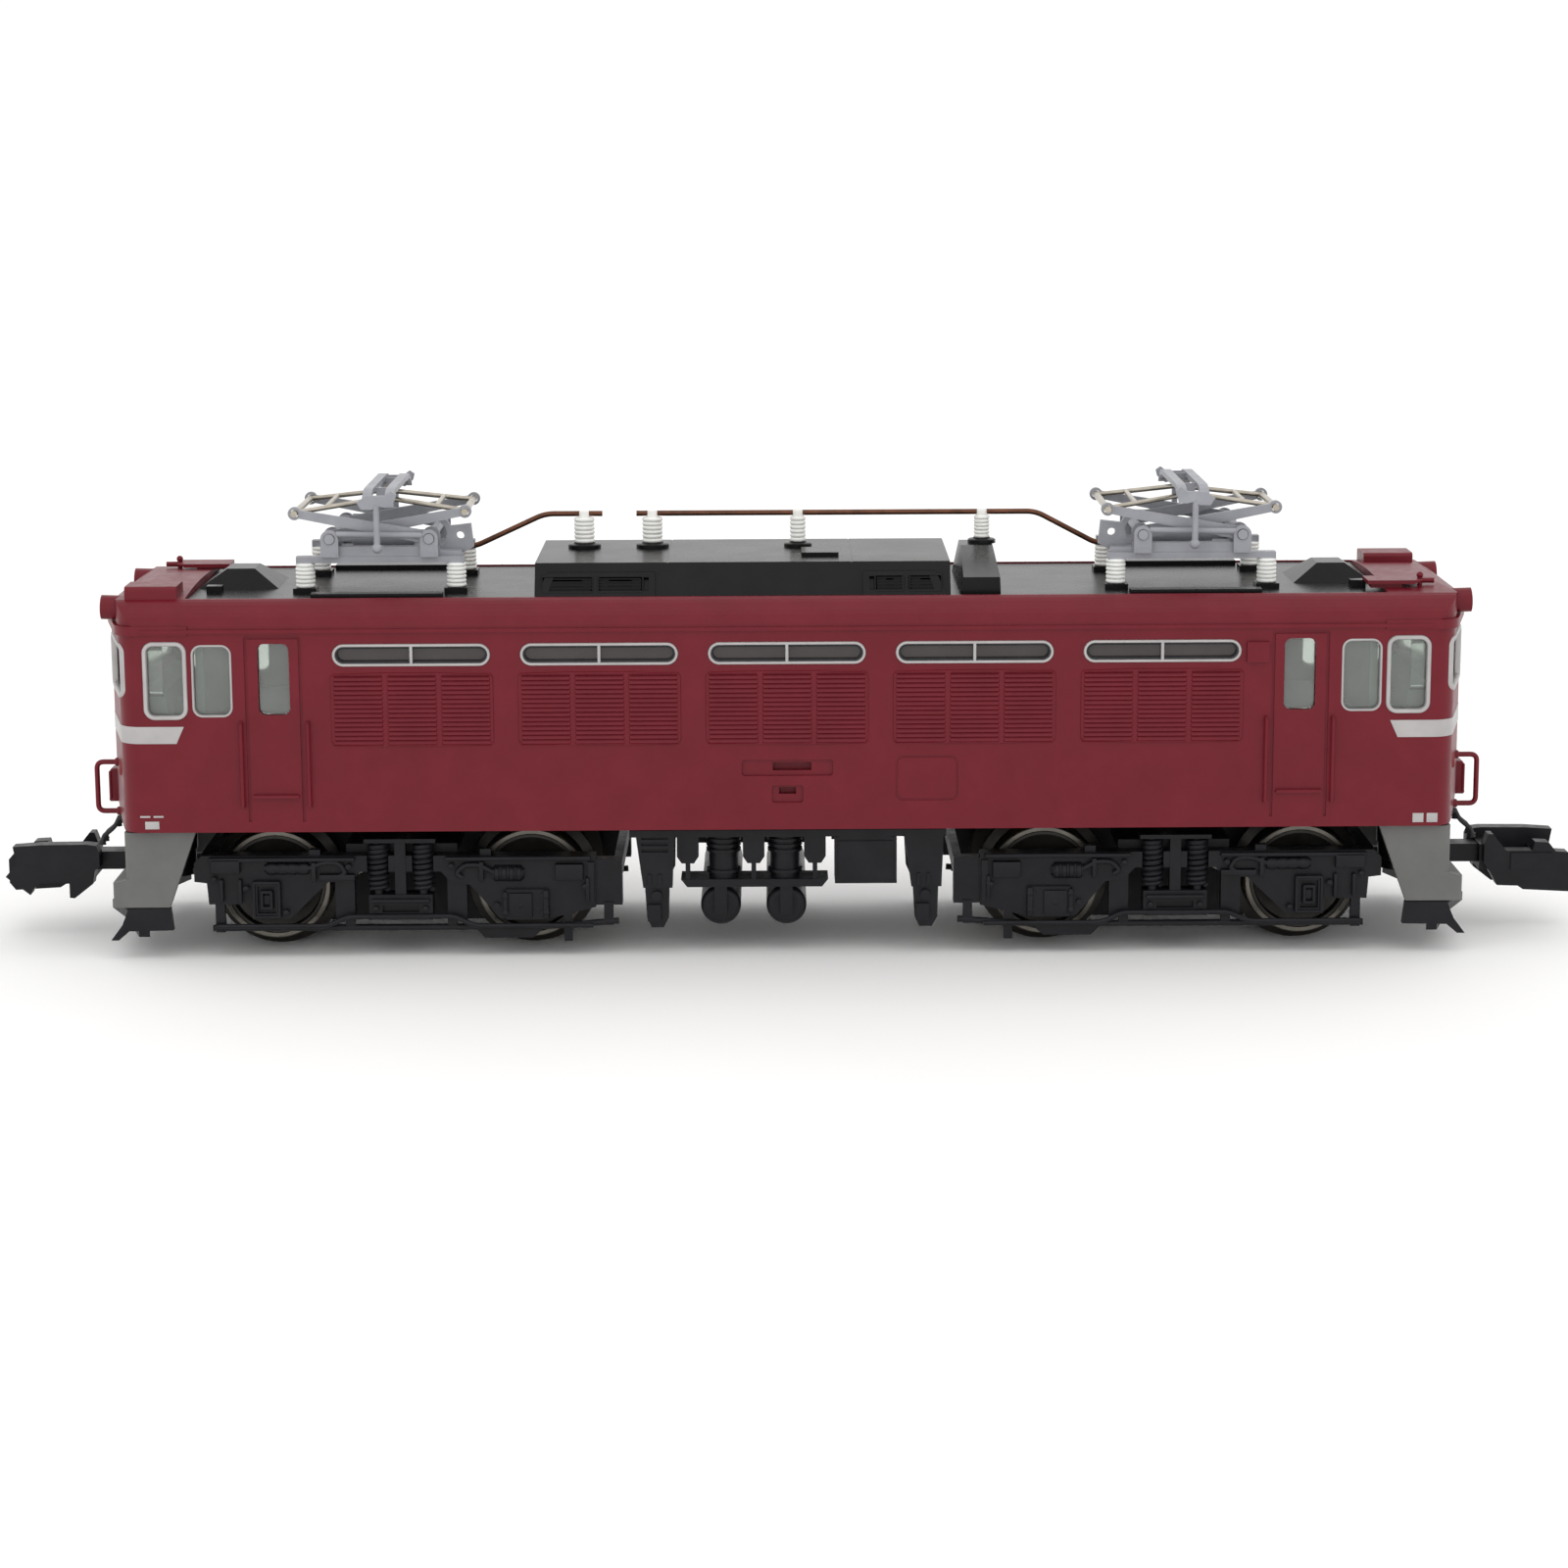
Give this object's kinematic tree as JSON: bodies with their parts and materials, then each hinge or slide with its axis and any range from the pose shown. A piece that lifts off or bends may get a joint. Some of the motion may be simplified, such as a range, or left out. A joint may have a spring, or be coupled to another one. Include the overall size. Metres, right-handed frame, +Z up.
{
  "type": "model electric locomotive",
  "caption": "Small-scale boxy electric locomotive on powered swivelling bogies, with folding roof current collectors, louvred sides and hook couplers at both ends.",
  "frame": {"origin": "midway between the coupler tips and between the sides, at the lowest point of the wheel flanges", "axes": "+X along the track towards the rear cab, +Y across the track, +Z up"},
  "size_m": [0.1042, 0.0194, 0.03],
  "materials": {
    "maroon_plastic": "moulded styrene, satin maroon paint",
    "silver_trim": "bright satin silver print",
    "dark_glazing": "smoked clear styrene with dark backing",
    "clear_glazing": "clear styrene",
    "cab_green": "pale grey-green moulded plastic",
    "lamp_clear": "clear lens",
    "lamp_red": "red lens",
    "roof_black": "semi-gloss black moulded plastic",
    "porcelain_white": "off-white moulded plastic",
    "copper_wire": "copper coloured wire",
    "panto_grey": "grey enamel on pressed metal",
    "nickel_wire": "nickel silver wire",
    "skirt_grey": "mid grey moulded plastic",
    "bogie_black": "matt black moulded plastic",
    "hose_black": "stiff black moulded hose",
    "diecast": "blackened zinc casting",
    "steel_plain": "plain steel",
    "brass_plain": "turned brass",
    "gear_plastic": "natural acetal",
    "tread_steel": "blackened and polished wheel",
    "circuit_board": "green circuit board"
  },
  "bodies": {
    "locomotive": {"body_shell": "maroon_plastic", "side_window_frames": "silver_trim", "side_window_glazing": "dark_glazing", "cab_window_frames": "silver_trim", "cab_window_glazing": "clear_glazing", "cab_interiors": "cab_green", "headlight_lenses": "lamp_clear", "tail_light_lenses": "lamp_red", "roof_deck": "roof_black", "roof_hood": "roof_black", "roof_insulators": "porcelain_white", "bus_clamps": "roof_black", "bus_bars": "copper_wire", "roof_vents": "roof_black", "roof_end_boxes": "maroon_plastic", "pantograph_bases": "panto_grey", "handrails": "maroon_plastic", "end_skirts": "skirt_grey", "snow_ploughs": "bogie_black", "brake_hoses": "hose_black", "underframe_equipment": "bogie_black", "air_reservoirs": "bogie_black", "chassis_left": "diecast", "chassis_right": "diecast", "chassis_screws": "steel_plain", "motor_case": "steel_plain", "light_units": "circuit_board", "worm_bearings": "brass_plain", "coupler_mounts": "bogie_black"},
    "driveline": {"armature_shaft": "steel_plain", "flywheels": "brass_plain", "worms": "gear_plastic"},
    "bogie_front": {"bogie_front_frame": "bogie_black", "bogie_front_gear_case": "bogie_black", "bogie_front_springs": "bogie_black"},
    "worm_wheel_front": {"worm_wheel_front": "gear_plastic"},
    "idler_front_outer": {"idler_front_outer": "gear_plastic"},
    "wheelset_front_outer": {"wheelset_front_outer": "tread_steel"},
    "idler_front_inner": {"idler_front_inner": "gear_plastic"},
    "wheelset_front_inner": {"wheelset_front_inner": "tread_steel"},
    "pantograph_front_lower_a": {"pantograph_front_lower_a": "panto_grey"},
    "pantograph_front_lower_b": {"pantograph_front_lower_b": "panto_grey"},
    "pantograph_front_upper_a": {"pantograph_front_upper_a": "nickel_wire"},
    "pantograph_front_upper_b": {"pantograph_front_upper_b": "nickel_wire"},
    "pantograph_front_head": {"pantograph_front_head": "panto_grey"},
    "coupler_front": {"coupler_front": "bogie_black"},
    "bogie_rear": {"bogie_rear_frame": "bogie_black", "bogie_rear_gear_case": "bogie_black", "bogie_rear_springs": "bogie_black"},
    "worm_wheel_rear": {"worm_wheel_rear": "gear_plastic"},
    "idler_rear_outer": {"idler_rear_outer": "gear_plastic"},
    "wheelset_rear_outer": {"wheelset_rear_outer": "tread_steel"},
    "idler_rear_inner": {"idler_rear_inner": "gear_plastic"},
    "wheelset_rear_inner": {"wheelset_rear_inner": "tread_steel"},
    "pantograph_rear_lower_a": {"pantograph_rear_lower_a": "panto_grey"},
    "pantograph_rear_lower_b": {"pantograph_rear_lower_b": "panto_grey"},
    "pantograph_rear_upper_a": {"pantograph_rear_upper_a": "nickel_wire"},
    "pantograph_rear_upper_b": {"pantograph_rear_upper_b": "nickel_wire"},
    "pantograph_rear_head": {"pantograph_rear_head": "panto_grey"},
    "coupler_rear": {"coupler_rear": "bogie_black"}
  },
  "joints": [
    {"name": "driveline_spin", "type": "hinge", "parent": "locomotive", "child": "driveline", "pos_m": [0, 0, 0.0137], "axis": [1, 0, 0], "continuous": true},
    {"name": "bogie_front_swivel", "type": "hinge", "parent": "locomotive", "child": "bogie_front", "pos_m": [-0.025, 0, 0.01], "axis": [0, 0, 1], "range_deg": [-6, 6]},
    {"name": "worm_wheel_front_spin", "type": "hinge", "parent": "bogie_front", "child": "worm_wheel_front", "pos_m": [-0.025, 0, 0.009], "axis": [0, 1, 0], "continuous": true},
    {"name": "idler_front_outer_spin", "type": "hinge", "parent": "bogie_front", "child": "idler_front_outer", "pos_m": [-0.02855, 0, 0.00467], "axis": [0, 1, 0], "continuous": true},
    {"name": "wheelset_front_outer_spin", "type": "hinge", "parent": "bogie_front", "child": "wheelset_front_outer", "pos_m": [-0.03334, 0, 0.00435], "axis": [0, 1, 0], "continuous": true},
    {"name": "idler_front_inner_spin", "type": "hinge", "parent": "bogie_front", "child": "idler_front_inner", "pos_m": [-0.02145, 0, 0.00467], "axis": [0, 1, 0], "continuous": true},
    {"name": "wheelset_front_inner_spin", "type": "hinge", "parent": "bogie_front", "child": "wheelset_front_inner", "pos_m": [-0.01666, 0, 0.00435], "axis": [0, 1, 0], "continuous": true},
    {"name": "pantograph_front_raise", "type": "hinge", "parent": "locomotive", "child": "pantograph_front_lower_a", "pos_m": [-0.02295, 0, 0.0268], "axis": [0, 1, 0], "range_deg": [0, 39]},
    {"name": "pantograph_front_lower_b_pivot", "type": "hinge", "parent": "locomotive", "child": "pantograph_front_lower_b", "pos_m": [-0.02935, 0, 0.0268], "axis": [0, 1, 0], "range_deg": [-40, 0.2]},
    {"name": "pantograph_front_upper_a_knee", "type": "hinge", "parent": "pantograph_front_lower_a", "child": "pantograph_front_upper_a", "pos_m": [-0.0316, 0, 0.0284], "axis": [0, 1, 0], "range_deg": [-94.44, 0.2]},
    {"name": "pantograph_front_upper_b_knee", "type": "hinge", "parent": "pantograph_front_lower_b", "child": "pantograph_front_upper_b", "pos_m": [-0.0207, 0, 0.0284], "axis": [0, 1, 0], "range_deg": [-0.2, 94.44]},
    {"name": "pantograph_front_head_pivot", "type": "hinge", "parent": "pantograph_front_upper_a", "child": "pantograph_front_head", "pos_m": [-0.02615, 0, 0.02915], "axis": [0, 1, 0], "range_deg": [-0.2, 55.44]},
    {"name": "coupler_front_swing", "type": "hinge", "parent": "locomotive", "child": "coupler_front", "pos_m": [-0.0406, 0, 0.0049], "axis": [0, 0, 1], "range_deg": [-14, 14]},
    {"name": "bogie_rear_swivel", "type": "hinge", "parent": "locomotive", "child": "bogie_rear", "pos_m": [0.025, 0, 0.01], "axis": [0, 0, 1], "range_deg": [-6, 6]},
    {"name": "worm_wheel_rear_spin", "type": "hinge", "parent": "bogie_rear", "child": "worm_wheel_rear", "pos_m": [0.025, 0, 0.009], "axis": [0, 1, 0], "continuous": true},
    {"name": "idler_rear_outer_spin", "type": "hinge", "parent": "bogie_rear", "child": "idler_rear_outer", "pos_m": [0.02855, 0, 0.00467], "axis": [0, 1, 0], "continuous": true},
    {"name": "wheelset_rear_outer_spin", "type": "hinge", "parent": "bogie_rear", "child": "wheelset_rear_outer", "pos_m": [0.03334, 0, 0.00435], "axis": [0, 1, 0], "continuous": true},
    {"name": "idler_rear_inner_spin", "type": "hinge", "parent": "bogie_rear", "child": "idler_rear_inner", "pos_m": [0.02145, 0, 0.00467], "axis": [0, 1, 0], "continuous": true},
    {"name": "wheelset_rear_inner_spin", "type": "hinge", "parent": "bogie_rear", "child": "wheelset_rear_inner", "pos_m": [0.01666, 0, 0.00435], "axis": [0, 1, 0], "continuous": true},
    {"name": "pantograph_rear_raise", "type": "hinge", "parent": "locomotive", "child": "pantograph_rear_lower_a", "pos_m": [0.02935, 0, 0.0268], "axis": [0, 1, 0], "range_deg": [0, 39]},
    {"name": "pantograph_rear_lower_b_pivot", "type": "hinge", "parent": "locomotive", "child": "pantograph_rear_lower_b", "pos_m": [0.02295, 0, 0.0268], "axis": [0, 1, 0], "range_deg": [-40, 0.2]},
    {"name": "pantograph_rear_upper_a_knee", "type": "hinge", "parent": "pantograph_rear_lower_a", "child": "pantograph_rear_upper_a", "pos_m": [0.0207, 0, 0.0284], "axis": [0, 1, 0], "range_deg": [-94.44, 0.2]},
    {"name": "pantograph_rear_upper_b_knee", "type": "hinge", "parent": "pantograph_rear_lower_b", "child": "pantograph_rear_upper_b", "pos_m": [0.0316, 0, 0.0284], "axis": [0, 1, 0], "range_deg": [-0.2, 94.44]},
    {"name": "pantograph_rear_head_pivot", "type": "hinge", "parent": "pantograph_rear_upper_a", "child": "pantograph_rear_head", "pos_m": [0.02615, 0, 0.02915], "axis": [0, 1, 0], "range_deg": [-0.2, 55.44]},
    {"name": "coupler_rear_swing", "type": "hinge", "parent": "locomotive", "child": "coupler_rear", "pos_m": [0.0406, 0, 0.0049], "axis": [0, 0, 1], "range_deg": [-14, 14]}
  ],
  "couplings": [
    {"joint": "worm_wheel_front_spin", "follows": "driveline_spin", "ratio": -0.0625},
    {"joint": "idler_front_outer_spin", "follows": "driveline_spin", "ratio": 0.083333},
    {"joint": "wheelset_front_outer_spin", "follows": "driveline_spin", "ratio": -0.083333},
    {"joint": "idler_front_inner_spin", "follows": "driveline_spin", "ratio": 0.083333},
    {"joint": "wheelset_front_inner_spin", "follows": "driveline_spin", "ratio": -0.083333},
    {"joint": "pantograph_front_lower_b_pivot", "follows": "pantograph_front_raise", "ratio": -1},
    {"joint": "pantograph_front_upper_a_knee", "follows": "pantograph_front_raise", "ratio": -2.396},
    {"joint": "pantograph_front_upper_b_knee", "follows": "pantograph_front_raise", "ratio": 2.396},
    {"joint": "pantograph_front_head_pivot", "follows": "pantograph_front_raise", "ratio": 1.396},
    {"joint": "worm_wheel_rear_spin", "follows": "driveline_spin", "ratio": -0.0625},
    {"joint": "idler_rear_outer_spin", "follows": "driveline_spin", "ratio": 0.083333},
    {"joint": "wheelset_rear_outer_spin", "follows": "driveline_spin", "ratio": -0.083333},
    {"joint": "idler_rear_inner_spin", "follows": "driveline_spin", "ratio": 0.083333},
    {"joint": "wheelset_rear_inner_spin", "follows": "driveline_spin", "ratio": -0.083333},
    {"joint": "pantograph_rear_lower_b_pivot", "follows": "pantograph_rear_raise", "ratio": -1},
    {"joint": "pantograph_rear_upper_a_knee", "follows": "pantograph_rear_raise", "ratio": -2.396},
    {"joint": "pantograph_rear_upper_b_knee", "follows": "pantograph_rear_raise", "ratio": 2.396},
    {"joint": "pantograph_rear_head_pivot", "follows": "pantograph_rear_raise", "ratio": 1.396}
  ]
}
